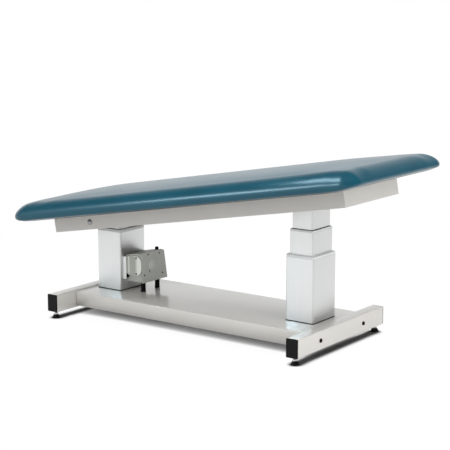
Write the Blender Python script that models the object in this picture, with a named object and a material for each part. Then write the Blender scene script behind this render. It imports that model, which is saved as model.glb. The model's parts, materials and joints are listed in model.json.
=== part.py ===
"""Powered ultrasound table: padded top, two telescopic lifting columns and an H-shaped base.

Metres, +Z up. X runs along the table, with the raised end at +X; Y runs from front to back.
The floor is at Z = 0 and the origin lies on it under the middle of the whole table.
"""

import math

import bmesh
import bpy
from mathutils import Matrix, Vector

# Fits
GAP = 0.0003                 # between pieces that touch
RUN = 0.0005                 # around pieces that slide or turn
SMALLEST_CORNER = 0.0005     # inside corners are never sharper than this

# Feet
FOOT_SPACING = 1.306         # between the centre lines of the two feet
FOOT_LENGTH = 0.696          # with both end caps
FOOT_WIDTH = 0.056
FOOT_HEIGHT = 0.080
FOOT_WALL = 0.003
FOOT_CORNER = 0.004
FOOT_CLEARANCE = 0.0322      # floor to the underside of the foot tube
CAP_FLANGE = 0.005
CAP_PLUG = 0.012
CAP_EDGE = 0.0015

# Levelling feet
PAD_RADIUS = 0.017
PAD_HEIGHT = 0.016
PAD_EDGE = 0.003
STEM_RADIUS = 0.005
STEM_LENGTH = 0.046
STEM_NUT_RADIUS = 0.009
STEM_NUT_HEIGHT = 0.006
STEM_BEHIND_CAP = 0.0035     # from the plug of the end cap to the hole for the stem

# Base cover
COVER_DEPTH = 0.436
COVER_HEIGHT = 0.065
COVER_DROP = 0.0056          # cover top below the top of the feet
COVER_WALL = 0.0025
COVER_EDGE = 0.0008

# Lifting columns
LEFT_COLUMN_INSIDE = 0.123   # column centre inside the centre line of the left foot
RIGHT_COLUMN_INSIDE = 0.132
OUTER_SIZE = (0.140, 0.178)
MIDDLE_INSET = (0.0125, 0.010)  # middle tube inside the outer one, on each side
INNER_INSET = (0.008, 0.007)    # inner tube inside the middle one, on each side
OUTER_CORNER = 0.009
MIDDLE_CORNER = 0.007
INNER_CORNER = 0.006
TUBE_WALL = 0.003
OUTER_LENGTH = 0.2715
MIDDLE_LENGTH = 0.286
INNER_LENGTH = 0.292
STAGE_STEP = 0.006           # each retracted tube starts this much above the one around it
STAGE_STROKE = 0.127
LEFT_STAGE_OUT = 0.0         # how far each stage is out as the table stands
RIGHT_STAGE_OUT = 0.0916
GASKET_THICKNESS = 0.003
GASKET_MARGIN = 0.0015
OUTER_COLLAR = 0.012         # height of the collar above its tube
MIDDLE_COLLAR = 0.0075
COLLAR_SKIRT = 0.035
COLLAR_CHAMFER = 0.002

# Lift drive inside each column
MOTOR_CLEARANCE = 0.0095     # between the motor and the inner tube around it
MOTOR_HEIGHT = 0.100
MOTOR_FLANGE = 0.006         # width and height of the flange around its foot
MOTOR_EDGE = 0.004
SPINDLE_RADIUS = 0.009
SPINDLE_WALL = 0.004
SPINDLE_STEP = 0.010         # each spindle tube starts this much above the one inside it
SPINDLE_BELOW_HEAD = 0.028   # top of the spindle below the head plate, with the column down
TUBE_BELOW_HEAD = 0.022      # the same for the tube around it
SLEEVE_WALL = 0.005

# Heads, pivot shaft and roller slide
HEAD_PLATE = 0.006
PIVOT_HEIGHT = 0.022         # pivot centre above the head plate
EAR_SPACING = 0.104          # between the middles of the two ears
EAR_THICKNESS = 0.008
EAR_WIDTH = 0.040
SHAFT_RADIUS = 0.010
SHAFT_HEAD_RADIUS = 0.0135
SHAFT_HEAD_HEIGHT = 0.0065
PIN_RADIUS = 0.006
PIN_COLLAR_RADIUS = 0.009
PIN_COLLAR_WIDTH = 0.005
ROLLER_RADIUS = 0.014
ROLLER_WIDTH = 0.010
SLOT_PLATE_SPACING = 0.188   # between the middles of the two slotted plates
SLOT_PLATE_THICKNESS = 0.007
SLOT_PLATE_LENGTH = 0.120
SLOT_PLATE_BELOW = 0.026     # lower edge below the roller axis
SLOT_FLANGE_WIDTH = 0.025
SLOT_CLEARANCE_UP = 0.0008
SLOT_CLEARANCE_DOWN = 0.004
SLOT_END_CLEARANCE = 0.006

# Top frame, measured along the top
FRAME_LEFT_OF_PIVOT = 0.218
FRAME_RIGHT_OF_ROLLERS = 0.308
FRAME_WIDTH = 0.436
FRAME_HEIGHT = 0.073
PIVOT_ABOVE_FRAME_EDGE = 0.0333
RAIL_WALL = 0.0025
RAIL_TOP_FLANGE = 0.030
RAIL_BOTTOM_FLANGE = 0.018

# Deck board and cushion
END_OVERHANG = 0.1415        # cushion past each end of the frame
SIDE_OVERHANG = 0.163        # cushion past each side of the frame
CUSHION_CORNER = 0.085
CUSHION_INNER_CORNER = 0.017  # smallest corner of the outlines inside the edge
CUSHION_EDGE = 0.084         # thickness just inside the rolled edge
CUSHION_CROWN = 0.019        # added at the middle
CUSHION_ROLL = 0.080         # width of the rolled edge
CUSHION_LIP = 0.020          # height of the fullest part of the side
CUSHION_TUCK = 0.014         # how far the side turns under
CUSHION_DRAW_IN = 0.003      # how far each side pulls in between its corners
CUSHION_END_LIFT = 0.012     # how far the underside turns up towards the ends
CUSHION_CORNER_DROP = 0.018  # how far the top is drawn down at the corners
BOARD_THICKNESS = 0.015
BOARD_INSET = 0.030          # board edge inside the cushion's edge

# Control unit on the left column, heights from the top of the base cover
BRACKET_DEPTH = 0.021        # its flange, out from the column
BRACKET_WALL = 0.003
BRACKET_WIDTH = 0.133
BRACKET_OFFSET = -0.0085     # middle of the bracket in front of the column's middle
BRACKET_HEIGHT = 0.106
BRACKET_BELOW_TOP = 0.019    # under the top of the housing
HOUSING_DEPTH = 0.0995
HOUSING_WIDTH = 0.154        # along its top
HOUSING_OFFSET = 0.019       # middle of the housing behind the column's middle
HOUSING_HEIGHT = 0.134
HOUSING_ABOVE_COVER = 0.0474
HOUSING_WALL = 0.002
HOUSING_EDGE = 0.0015
HOUSING_LEAN = 0.024         # how much longer its lower edge is at the back
HOUSING_REAR_DROP = 0.008    # how far its top falls towards the back
HOUSING_SHELF = 0.026        # depth of the level part of its top, from its front
HOUSING_TOP_FALL = 0.014     # how far the top falls from there to the column
END_CAP_HEIGHT = 0.105
END_CAP_BELOW_TOP = 0.007    # under the top of the housing
END_CAP_THICKNESS = 0.006
END_CAP_FROM_BACK = 0.010    # from the back of the housing
END_CAP_FROM_FRONT = 0.001
END_CAP_CORNER = 0.030
SIDE_COVER_THICKNESS = 0.003
SIDE_COVER_MARGIN = 0.004
CONDUIT_RADIUS = 0.0105
CONDUIT_NUT_RADIUS = 0.0125
CONDUIT_NUT_HEIGHT = 0.008
CONDUIT_FROM_FACE = 0.013    # conduit centre behind the front of the housing
CONDUIT_PITCH = 0.102
CONDUIT_OFFSET = -0.003      # middle of the pair in front of the housing's middle
FUSE_CAP_RADIUS = 0.009
FUSE_CAP_HEIGHT = 0.009
FUSE_CAP_DOME = 0.004
FUSE_CAP_OFFSET = 0.047      # behind the housing's middle
FUSE_CAP_BORDER = 0.002      # flat top left behind it

# Steps around curves
CORNER_STEPS = 4
ROUND_STEPS = 24
HALF_ROUND_STEPS = 12
QUARTER_STEPS = 6
DOME_STEPS = 4
BEVEL_STEPS = 2
BEVELLED_ANGLE = 0.5         # edges that bend less are left as they are
HEXAGON = 6
CUSHION_CORNER_STEPS = 7
CUSHION_LENGTH_STEPS = 8
CUSHION_WIDTH_STEPS = 6
CUSHION_TUCK_STEPS = 3
CUSHION_ROLL_STEPS = 6
CROWN_STEPS = 3
END_STEPS = 3
SHARP_ANGLE = math.radians(35)
MERGE_DISTANCE = 1e-6

# Heights and places worked out from the sizes above
COVER_TOP = FOOT_CLEARANCE + FOOT_HEIGHT - COVER_DROP
LEFT_COLUMN_X = LEFT_COLUMN_INSIDE - FOOT_SPACING / 2
RIGHT_COLUMN_X = FOOT_SPACING / 2 - RIGHT_COLUMN_INSIDE
COLUMN_SPAN = RIGHT_COLUMN_X - LEFT_COLUMN_X
MIDDLE_SIZE = tuple(size - 2 * inset for size, inset in zip(OUTER_SIZE, MIDDLE_INSET))
INNER_SIZE = tuple(size - 2 * inset for size, inset in zip(MIDDLE_SIZE, INNER_INSET))
OUTER_BOTTOM = COVER_TOP + GASKET_THICKNESS + 2 * GAP
OUTER_TOP = OUTER_BOTTOM + OUTER_LENGTH
MIDDLE_BOTTOM = OUTER_BOTTOM + STAGE_STEP
MIDDLE_TOP = MIDDLE_BOTTOM + MIDDLE_LENGTH
INNER_BOTTOM = MIDDLE_BOTTOM + STAGE_STEP
INNER_TOP = INNER_BOTTOM + INNER_LENGTH
HEAD_TOP = INNER_TOP + GAP + HEAD_PLATE
PIVOT_Z = HEAD_TOP + PIVOT_HEIGHT
TILT = math.atan2(2 * (RIGHT_STAGE_OUT - LEFT_STAGE_OUT), COLUMN_SPAN)
STEEPEST = math.atan2(2 * STAGE_STROKE, COLUMN_SPAN)
SLOT_NEAR = COLUMN_SPAN
SLOT_FAR = COLUMN_SPAN / math.cos(STEEPEST)
MOTOR_RADIUS = INNER_SIZE[0] / 2 - TUBE_WALL - MOTOR_CLEARANCE
SPINDLE_BOTTOM = OUTER_BOTTOM + MOTOR_HEIGHT + MOTOR_EDGE + GAP
FRAME_LENGTH = FRAME_LEFT_OF_PIVOT + COLUMN_SPAN + FRAME_RIGHT_OF_ROLLERS
FRAME_MIDDLE = FRAME_LENGTH / 2 - FRAME_LEFT_OF_PIVOT
FRAME_BOTTOM = -PIVOT_ABOVE_FRAME_EDGE
FRAME_TOP = FRAME_BOTTOM + FRAME_HEIGHT
DECK_BOTTOM = FRAME_TOP + GAP
CUSHION_LENGTH = FRAME_LENGTH + 2 * END_OVERHANG
CUSHION_WIDTH = FRAME_WIDTH + 2 * SIDE_OVERHANG
HOUSING_BACK = OUTER_SIZE[0] / 2 + BRACKET_WALL + 2 * GAP
HOUSING_FRONT = HOUSING_BACK + HOUSING_DEPTH
HOUSING_LOW = COVER_TOP + HOUSING_ABOVE_COVER
HOUSING_HIGH = HOUSING_LOW + HOUSING_HEIGHT
CONDUIT_X = HOUSING_FRONT - CONDUIT_FROM_FACE


def linear(red, green, blue):
    """Scene-linear colour from the 0-255 values of a display."""
    return tuple(((c / 255 + 0.055) / 1.055) ** 2.4 if c > 10 else c / 255 / 12.92
                 for c in (red, green, blue)) + (1.0,)


def finish(name, colour, roughness, metallic=0.0):
    """A Principled material."""
    material = bpy.data.materials.new(name)
    material.use_nodes = True
    shader = material.node_tree.nodes["Principled BSDF"]
    shader.inputs["Base Color"].default_value = colour
    shader.inputs["Roughness"].default_value = roughness
    shader.inputs["Metallic"].default_value = metallic
    material.diffuse_color = colour
    return material


def frame(name, place=(0, 0, 0), turn=0.0, parent=None):
    """An empty that carries pieces; turn is about Y and lifts the +X end."""
    empty = bpy.data.objects.new(name, None)
    empty.location = place
    empty.rotation_euler = (0, -turn, 0)
    empty.parent = parent
    bpy.context.collection.objects.link(empty)
    return empty


def piece(name, bm, parent, material, smooth=True):
    """Turn a bmesh into a named object with its faces pointing out."""
    bmesh.ops.remove_doubles(bm, verts=bm.verts, dist=MERGE_DISTANCE)
    bmesh.ops.recalc_face_normals(bm, faces=bm.faces)
    mesh = bpy.data.meshes.new(name)
    bm.to_mesh(mesh)
    bm.free()
    if smooth:
        mesh.shade_smooth()
        mesh.set_sharp_from_angle(angle=SHARP_ANGLE)
    if material:
        mesh.materials.append(material)
    obj = bpy.data.objects.new(name, mesh)
    obj.parent = parent
    bpy.context.collection.objects.link(obj)
    return obj


def tool(name, bm, parent):
    """A shape used only to cut or join another piece."""
    obj = piece(name, bm, parent, None, smooth=False)
    obj.hide_render = True
    obj.display_type = "WIRE"
    return obj


def combine(target, operand, operation="DIFFERENCE"):
    """Cut the operand from the target, or unite the two."""
    boolean = target.modifiers.new(operand.name, "BOOLEAN")
    boolean.object = operand
    boolean.operation = operation
    boolean.solver = "EXACT"


def ring(points):
    """Closed loop of points as vectors."""
    return [Vector(p) for p in points]


def rounded(size, corner, z, steps=CORNER_STEPS):
    """Rounded rectangle centred on the Z axis."""
    half_x = size[0] / 2 - corner
    half_y = size[1] / 2 - corner
    points = []
    for quarter, (sx, sy) in enumerate(((1, 1), (-1, 1), (-1, -1), (1, -1))):
        for step in range(steps + 1):
            angle = (quarter + step / steps) * math.pi / 2
            points.append((sx * half_x + corner * math.cos(angle),
                           sy * half_y + corner * math.sin(angle), z))
    return ring(points)


def circle(radius, z, steps=ROUND_STEPS):
    """Circle around the Z axis."""
    turn = 2 * math.pi / steps
    return ring([(radius * math.cos(i * turn), radius * math.sin(i * turn), z) for i in range(steps)])


def shrunk(size, amount):
    """A width and depth made smaller by the same amount on every side."""
    return (size[0] - 2 * amount, size[1] - 2 * amount)


def inside_corner(corner, depth):
    """Corner radius of an outline that lies a given depth inside a rounded one."""
    return max(corner - depth, SMALLEST_CORNER)


def loft(rings, closed=False):
    """Skin over a row of rings; its ends are capped, or joined to each other when closed."""
    bm = bmesh.new()
    loops = [[bm.verts.new(p) for p in points] for points in rings]
    pairs = list(zip(loops, loops[1:]))
    if closed:
        pairs.append((loops[-1], loops[0]))
    else:
        bm.faces.new(loops[0])
        bm.faces.new(loops[-1])
    for first, second in pairs:
        for i in range(len(first)):
            bm.faces.new((first[i - 1], first[i], second[i], second[i - 1]))
    return bm


def box(low, high, edge=0.0):
    """Block between two corners, with its edges bevelled."""
    bm = bmesh.new()
    size = Vector(high) - Vector(low)
    middle = (Vector(high) + Vector(low)) / 2
    bmesh.ops.create_cube(bm, size=1.0, matrix=Matrix.Translation(middle) @ Matrix.Diagonal((*size, 1.0)))
    if edge:
        bmesh.ops.bevel(bm, geom=bm.edges[:], offset=edge, offset_type="OFFSET", segments=BEVEL_STEPS,
                        profile=0.5, affect="EDGES", clamp_overlap=True)
    return bm


def turned(profile, steps=ROUND_STEPS):
    """Spin a profile of (radius, z) points, both ends on the axis, around Z."""
    bm = bmesh.new()
    verts = [bm.verts.new((r, 0, z)) for r, z in profile]
    edges = [bm.edges.new(pair) for pair in zip(verts, verts[1:])]
    bmesh.ops.spin(bm, geom=verts + edges, cent=(0, 0, 0), axis=(0, 0, 1), angle=2 * math.pi,
                   steps=steps, use_merge=True)
    return bm


def sleeve(outer, inner, low, high):
    """Round tube around Z."""
    return loft([circle(outer, low), circle(outer, high), circle(inner, high), circle(inner, low)],
                closed=True)


def along_y(bm):
    """Lay a shape built around Z along Y, its top towards -Y."""
    bmesh.ops.rotate(bm, verts=bm.verts, cent=(0, 0, 0), matrix=Matrix.Rotation(math.pi / 2, 3, "X"))
    return bm


def along_x(bm, side):
    """Lay a shape built around Z along X, its top towards the given side."""
    bmesh.ops.rotate(bm, verts=bm.verts, cent=(0, 0, 0), matrix=Matrix.Rotation(side * math.pi / 2, 3, "Y"))
    return bm


def moved(bm, x=0.0, y=0.0, z=0.0):
    """Shift a whole shape."""
    bmesh.ops.translate(bm, verts=bm.verts, vec=(x, y, z))
    return bm


def dome(radius, height, base):
    """Profile points of a low dome that stands on a base height, from its rim to its top."""
    angles = [i / DOME_STEPS * math.pi / 2 for i in range(DOME_STEPS)]
    rim = [(radius * math.cos(angle), base + height * math.sin(angle)) for angle in angles]
    return rim + [(0.0, base + height)]


def build_foot(side, parent, looks):
    """One foot: tube, two end caps and two levelling feet. side is -1 left, 1 right."""
    name = "left" if side < 0 else "right"
    x = side * FOOT_SPACING / 2
    low = FOOT_CLEARANCE
    middle = low + FOOT_HEIGHT / 2
    half = FOOT_LENGTH / 2 - CAP_FLANGE - GAP
    section = (FOOT_WIDTH, FOOT_HEIGHT)
    hollow = shrunk(section, FOOT_WALL)
    outside, inside = FOOT_CORNER, inside_corner(FOOT_CORNER, FOOT_WALL)
    stem_from_end = CAP_FLANGE + CAP_PLUG + STEM_BEHIND_CAP + STEM_RADIUS + RUN

    tube = loft([rounded(section, outside, -half), rounded(section, outside, half),
                 rounded(hollow, inside, half), rounded(hollow, inside, -half)], closed=True)
    tube = piece(f"foot_tube_{name}", moved(along_y(tube), x, 0, middle), parent, looks["paint"])

    for end, where in ((-1, "front"), (1, "rear")):
        face = FOOT_LENGTH / 2
        plug = shrunk(hollow, GAP)
        cap = loft([rounded(plug, inside, half - CAP_PLUG), rounded(plug, inside, half + GAP),
                    rounded(section, outside, half + GAP),
                    rounded(section, outside, face - CAP_EDGE),
                    rounded(shrunk(section, CAP_EDGE), inside_corner(outside, CAP_EDGE), face)])
        if end > 0:
            bmesh.ops.rotate(cap, verts=cap.verts, cent=(0, 0, 0), matrix=Matrix.Rotation(math.pi, 3, "X"))
        piece(f"foot_cap_{where}_{name}", moved(along_y(cap), x, 0, middle), parent, looks["black"])

        y = end * (FOOT_LENGTH / 2 - stem_from_end)
        leveller = frame(f"leveller_{where}_{name}", (x, y, 0), parent=parent)
        pad = turned([(0, 0), (PAD_RADIUS - PAD_EDGE / 2, 0), (PAD_RADIUS, PAD_EDGE / 2),
                      (PAD_RADIUS, PAD_HEIGHT - PAD_EDGE), (PAD_RADIUS - PAD_EDGE, PAD_HEIGHT),
                      (0, PAD_HEIGHT)])
        piece(f"leveller_pad_{where}_{name}", pad, leveller, looks["black"])
        foot = PAD_HEIGHT + GAP
        stem = loft([circle(STEM_NUT_RADIUS, foot, HEXAGON),
                     circle(STEM_NUT_RADIUS, foot + STEM_NUT_HEIGHT, HEXAGON)])
        stem = piece(f"leveller_stem_{where}_{name}", stem, leveller, looks["chrome"])
        rod = loft([circle(STEM_RADIUS, foot + STEM_NUT_HEIGHT / 2), circle(STEM_RADIUS, foot + STEM_LENGTH)])
        combine(stem, tool(f"join_stem_{where}_{name}", rod, leveller), "UNION")
        drill = loft([circle(STEM_RADIUS + RUN, low - FOOT_WALL),
                      circle(STEM_RADIUS + RUN, low + 2 * FOOT_WALL)])
        combine(tube, tool(f"drill_stem_{where}_{name}", drill, leveller))


def build_cover(parent, looks):
    """Welded steel tray between the feet, open below: top, two long sides and two end plates."""
    half_x = FOOT_SPACING / 2 - FOOT_WIDTH / 2 - GAP
    half_y = COVER_DEPTH / 2
    low, high = COVER_TOP - COVER_HEIGHT, COVER_TOP - COVER_WALL
    top = box((-half_x, -half_y, high), (half_x, half_y, COVER_TOP), COVER_EDGE)
    piece("base_cover_top", top, parent, looks["paint"])
    for side, where in ((-1, "front"), (1, "rear")):
        near, far = sorted((side * half_y, side * (half_y - COVER_WALL)))
        plate = box((-half_x, near, low), (half_x, far, high - GAP), COVER_EDGE)
        piece(f"base_cover_{where}", plate, parent, looks["paint"])
    inside = half_y - COVER_WALL - GAP
    for side, where in ((-1, "left"), (1, "right")):
        near, far = sorted((side * half_x, side * (half_x - COVER_WALL)))
        plate = box((near, -inside, low), (far, inside, high - GAP), COVER_EDGE)
        piece(f"base_cover_{where}", plate, parent, looks["paint"])


def square_tube(size, corner, low, high):
    """Rectangular column tube with rounded corners."""
    hollow = shrunk(size, TUBE_WALL)
    inside = inside_corner(corner, TUBE_WALL)
    return loft([rounded(size, corner, low), rounded(size, corner, high),
                 rounded(hollow, inside, high), rounded(hollow, inside, low)], closed=True)


def collar(size, corner, bore, bore_corner, seat, height):
    """Guide collar: a cap on the end of one tube and a skirt inside it, around the next tube."""
    skirt = shrunk(size, TUBE_WALL + GAP)
    skirt_corner = inside_corner(corner, TUBE_WALL + GAP)
    hole = shrunk(bore, -RUN)
    top = seat + GAP + height
    return loft([rounded(size, corner, seat + GAP), rounded(size, corner, top - COLLAR_CHAMFER),
                 rounded(shrunk(size, COLLAR_CHAMFER), inside_corner(corner, COLLAR_CHAMFER), top),
                 rounded(hole, bore_corner + RUN, top),
                 rounded(hole, bore_corner + RUN, seat - COLLAR_SKIRT),
                 rounded(skirt, skirt_corner, seat - COLLAR_SKIRT),
                 rounded(skirt, skirt_corner, seat + GAP)], closed=True)


def head_bracket(name, parent, looks, bore):
    """U-shaped bracket on the inner tube, with two ears bored for the pivot."""
    plate = loft([rounded(INNER_SIZE, INNER_CORNER, INNER_TOP + GAP),
                  rounded(INNER_SIZE, INNER_CORNER, HEAD_TOP)])
    bracket = piece(name, plate, parent, looks["steel"])
    radius = EAR_WIDTH / 2
    foot = HEAD_TOP - PIVOT_Z - HEAD_PLATE / 2
    for end, where in ((-1, "front"), (1, "rear")):
        angles = [i / HALF_ROUND_STEPS * math.pi for i in range(HALF_ROUND_STEPS + 1)]
        arc = [(radius * math.cos(angle), radius * math.sin(angle)) for angle in angles]
        outline = [(radius, foot)] + arc + [(-radius, foot)]
        y = end * EAR_SPACING / 2
        ear = loft([ring([(x, y + t, PIVOT_Z + z) for x, z in outline])
                    for t in (-EAR_THICKNESS / 2, EAR_THICKNESS / 2)])
        combine(bracket, tool(f"join_{name}_{where}", ear, parent), "UNION")
    drill = loft([circle(bore + RUN, -EAR_SPACING), circle(bore + RUN, EAR_SPACING)])
    combine(bracket, tool(f"drill_{name}", moved(along_y(drill), 0, 0, PIVOT_Z), parent))
    return bracket


def build_column(name, x, stage_out, parent, looks, bore):
    """One lifting column with its drive; returns the frame of its inner stage."""
    column = frame(f"{name}_column", (x, 0, 0), parent=parent)
    middle = frame(f"{name}_middle_stage", (0, 0, stage_out), parent=column)
    inner = frame(f"{name}_inner_stage", (0, 0, stage_out), parent=middle)

    foot = shrunk(OUTER_SIZE, -GASKET_MARGIN)
    gasket = loft([rounded(foot, OUTER_CORNER + GASKET_MARGIN, COVER_TOP + GAP),
                   rounded(foot, OUTER_CORNER + GASKET_MARGIN, OUTER_BOTTOM - GAP)])
    piece(f"column_gasket_{name}", gasket, column, looks["black"])
    piece(f"column_outer_{name}", square_tube(OUTER_SIZE, OUTER_CORNER, OUTER_BOTTOM, OUTER_TOP),
          column, looks["aluminium"])
    guide = collar(OUTER_SIZE, OUTER_CORNER, MIDDLE_SIZE, MIDDLE_CORNER, OUTER_TOP, OUTER_COLLAR)
    piece(f"outer_collar_{name}", guide, column, looks["collar"])
    motor_top = OUTER_BOTTOM + MOTOR_HEIGHT
    flange_top = OUTER_BOTTOM + MOTOR_FLANGE
    motor = turned([(0, OUTER_BOTTOM), (MOTOR_RADIUS + MOTOR_FLANGE, OUTER_BOTTOM),
                    (MOTOR_RADIUS + MOTOR_FLANGE, flange_top),
                    (MOTOR_RADIUS, flange_top), (MOTOR_RADIUS, motor_top - MOTOR_EDGE),
                    (MOTOR_RADIUS - MOTOR_EDGE, motor_top), (SPINDLE_RADIUS + MOTOR_EDGE, motor_top),
                    (SPINDLE_RADIUS + MOTOR_EDGE, motor_top + MOTOR_EDGE), (0, motor_top + MOTOR_EDGE)])
    piece(f"lift_motor_{name}", motor, column, looks["black"])
    spindle_top = INNER_TOP - SPINDLE_BELOW_HEAD
    spindle = turned([(0, SPINDLE_BOTTOM), (SPINDLE_RADIUS, SPINDLE_BOTTOM),
                      (SPINDLE_RADIUS, spindle_top), (0, spindle_top)])
    piece(f"lift_spindle_lower_{name}", spindle, column, looks["chrome"])

    piece(f"column_middle_{name}", square_tube(MIDDLE_SIZE, MIDDLE_CORNER, MIDDLE_BOTTOM, MIDDLE_TOP),
          middle, looks["aluminium"])
    guide = collar(MIDDLE_SIZE, MIDDLE_CORNER, INNER_SIZE, INNER_CORNER, MIDDLE_TOP, MIDDLE_COLLAR)
    piece(f"middle_collar_{name}", guide, middle, looks["collar"])
    bore_low = SPINDLE_RADIUS + RUN
    tube_low = SPINDLE_BOTTOM + SPINDLE_STEP
    piece(f"lift_spindle_middle_{name}",
          sleeve(bore_low + SPINDLE_WALL, bore_low, tube_low, INNER_TOP - TUBE_BELOW_HEAD),
          middle, looks["chrome"])

    piece(f"column_inner_{name}", square_tube(INNER_SIZE, INNER_CORNER, INNER_BOTTOM, INNER_TOP),
          inner, looks["aluminium"])
    bore_high = bore_low + SPINDLE_WALL + RUN
    piece(f"lift_spindle_upper_{name}",
          sleeve(bore_high + SLEEVE_WALL, bore_high, tube_low + SPINDLE_STEP, INNER_TOP),
          inner, looks["steel"])
    head_bracket(f"head_bracket_{name}", inner, looks, bore)
    return inner


def build_pivot_shaft(parent, looks):
    """Shaft through both long rails and the left head, with a domed head at each end."""
    half = FRAME_WIDTH / 2 + GAP
    top = dome(SHAFT_HEAD_RADIUS, SHAFT_HEAD_HEIGHT, half)
    bottom = [(r, -z) for r, z in reversed(top)]
    shaft = turned(bottom + [(SHAFT_RADIUS, -half), (SHAFT_RADIUS, half)] + top)
    piece("pivot_shaft", along_y(shaft), parent, looks["chrome"])


def build_roller_pin(parent, looks):
    """Cross pin and its two rollers on the right head."""
    end = SLOT_PLATE_SPACING / 2 + ROLLER_WIDTH / 2 + GAP
    pin = turned([(0, -end - PIN_COLLAR_WIDTH), (PIN_COLLAR_RADIUS, -end - PIN_COLLAR_WIDTH),
                  (PIN_COLLAR_RADIUS, -end), (PIN_RADIUS, -end), (PIN_RADIUS, end), (PIN_COLLAR_RADIUS, end),
                  (PIN_COLLAR_RADIUS, end + PIN_COLLAR_WIDTH), (0, end + PIN_COLLAR_WIDTH)])
    axis = frame("roller_axis", (0, 0, PIVOT_Z), parent=parent)
    piece("roller_pin", along_y(pin), axis, looks["steel"])
    for side, where in ((-1, "front"), (1, "rear")):
        roller = sleeve(ROLLER_RADIUS, PIN_RADIUS + RUN, -ROLLER_WIDTH / 2, ROLLER_WIDTH / 2)
        hub = frame(f"roller_hub_{where}", (0, side * SLOT_PLATE_SPACING / 2, 0), parent=axis)
        piece(f"roller_{where}", along_y(roller), hub, looks["nylon"])


def build_slot_plates(parent, looks):
    """Two angle plates under the deck, slotted for the rollers."""
    middle = (SLOT_NEAR + SLOT_FAR) / 2
    thick = SLOT_PLATE_THICKNESS
    low, high = -SLOT_PLATE_BELOW, FRAME_TOP
    section = [(0, low), (thick, low), (thick, high - thick), (thick + SLOT_FLANGE_WIDTH, high - thick),
               (thick + SLOT_FLANGE_WIDTH, high), (0, high)]
    top = ROLLER_RADIUS + SLOT_CLEARANCE_UP
    bottom = -ROLLER_RADIUS - SLOT_CLEARANCE_DOWN
    radius = (top - bottom) / 2
    run = (SLOT_FAR - SLOT_NEAR) / 2 + SLOT_END_CLEARANCE
    angles = [i / HALF_ROUND_STEPS * math.pi for i in range(HALF_ROUND_STEPS + 1)]
    slot = [(sign * (run + radius * math.sin(angle)), (top + bottom) / 2 - sign * radius * math.cos(angle))
            for sign in (1, -1) for angle in angles]
    for side, where in ((-1, "front"), (1, "rear")):
        start = SLOT_PLATE_SPACING / 2 - thick / 2
        ends = [middle + end * SLOT_PLATE_LENGTH / 2 for end in (-1, 1)]
        plate = loft([ring([(x, side * (start + t), z) for t, z in section]) for x in ends])
        plate = piece(f"slot_plate_{where}", plate, parent, looks["steel"])
        window = loft([ring([(middle + u, side * (start + t), v) for u, v in slot])
                       for t in (-thick, 2 * thick)])
        combine(plate, tool(f"cut_slot_{where}", window, parent))


def rail_section():
    """Channel section of a frame rail: distance in from its outer face, and height."""
    low, high, wall = FRAME_BOTTOM, FRAME_TOP, RAIL_WALL
    return [(0, low), (0, high), (RAIL_TOP_FLANGE, high), (RAIL_TOP_FLANGE, high - wall), (wall, high - wall),
            (wall, low + wall), (RAIL_BOTTOM_FLANGE, low + wall), (RAIL_BOTTOM_FLANGE, low)]


def build_top_frame(parent, looks):
    """Four channel rails, mitred at the corners; the long ones are bored for the pivot shaft."""
    half_x, half_y = FRAME_LENGTH / 2, FRAME_WIDTH / 2
    section = rail_section()
    for side, where in ((-1, "front"), (1, "rear")):
        ends = [ring([(FRAME_MIDDLE + end * (half_x - t - GAP), side * (half_y - t), z) for t, z in section])
                for end in (-1, 1)]
        rail = piece(f"frame_rail_{where}", loft(ends), parent, looks["paint"], smooth=False)
        drill = loft([circle(SHAFT_RADIUS + RUN, -RAIL_WALL), circle(SHAFT_RADIUS + RUN, 2 * RAIL_WALL)])
        drill = moved(along_y(drill), 0, side * half_y - RAIL_WALL / 2 * side, 0)
        combine(rail, tool(f"drill_rail_{where}", drill, parent))
    for side, where in ((-1, "left"), (1, "right")):
        ends = [ring([(FRAME_MIDDLE + side * (half_x - t), end * (half_y - t - GAP), z) for t, z in section])
                for end in (-1, 1)]
        piece(f"frame_rail_{where}", loft(ends), parent, looks["paint"], smooth=False)


def pad_outline(inset, height):
    """Cushion outline moved in by inset, its sides drawn in between the corners."""
    corner = max(CUSHION_CORNER - inset, CUSHION_INNER_CORNER)
    half = (CUSHION_LENGTH / 2 - inset - corner, CUSHION_WIDTH / 2 - inset - corner)
    points = []
    for quarter, (sx, sy) in enumerate(((1, 1), (-1, 1), (-1, -1), (1, -1))):
        for step in range(CUSHION_CORNER_STEPS + 1):
            angle = (quarter + step / CUSHION_CORNER_STEPS) * math.pi / 2
            points.append((sx * half[0] + corner * math.cos(angle), sy * half[1] + corner * math.sin(angle)))
        start = Vector(points[-1])
        along_length = quarter % 2 == 0
        span = half[0] if along_length else half[1]
        direction = Vector(((-1, 0), (0, -1), (1, 0), (0, 1))[quarter])
        inward = Vector(((0, -1), (1, 0), (0, 1), (-1, 0))[quarter])
        count = CUSHION_LENGTH_STEPS if along_length else CUSHION_WIDTH_STEPS
        for step in range(1, count):
            share = step / count
            pull = CUSHION_DRAW_IN * 4 * share * (1 - share)
            points.append(tuple(start + direction * (2 * span * share) + inward * pull))
    return ring([(FRAME_MIDDLE + x, y, DECK_BOTTOM + height) for x, y in points])


def square_in_steps(share, steps):
    """Square of a share from 0 to 1, in straight runs between equal steps, so that faces stay flat."""
    step = min(int(share * steps), steps - 1)
    return (step ** 2 + (share * steps - step) * (2 * step + 1)) / steps ** 2


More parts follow.
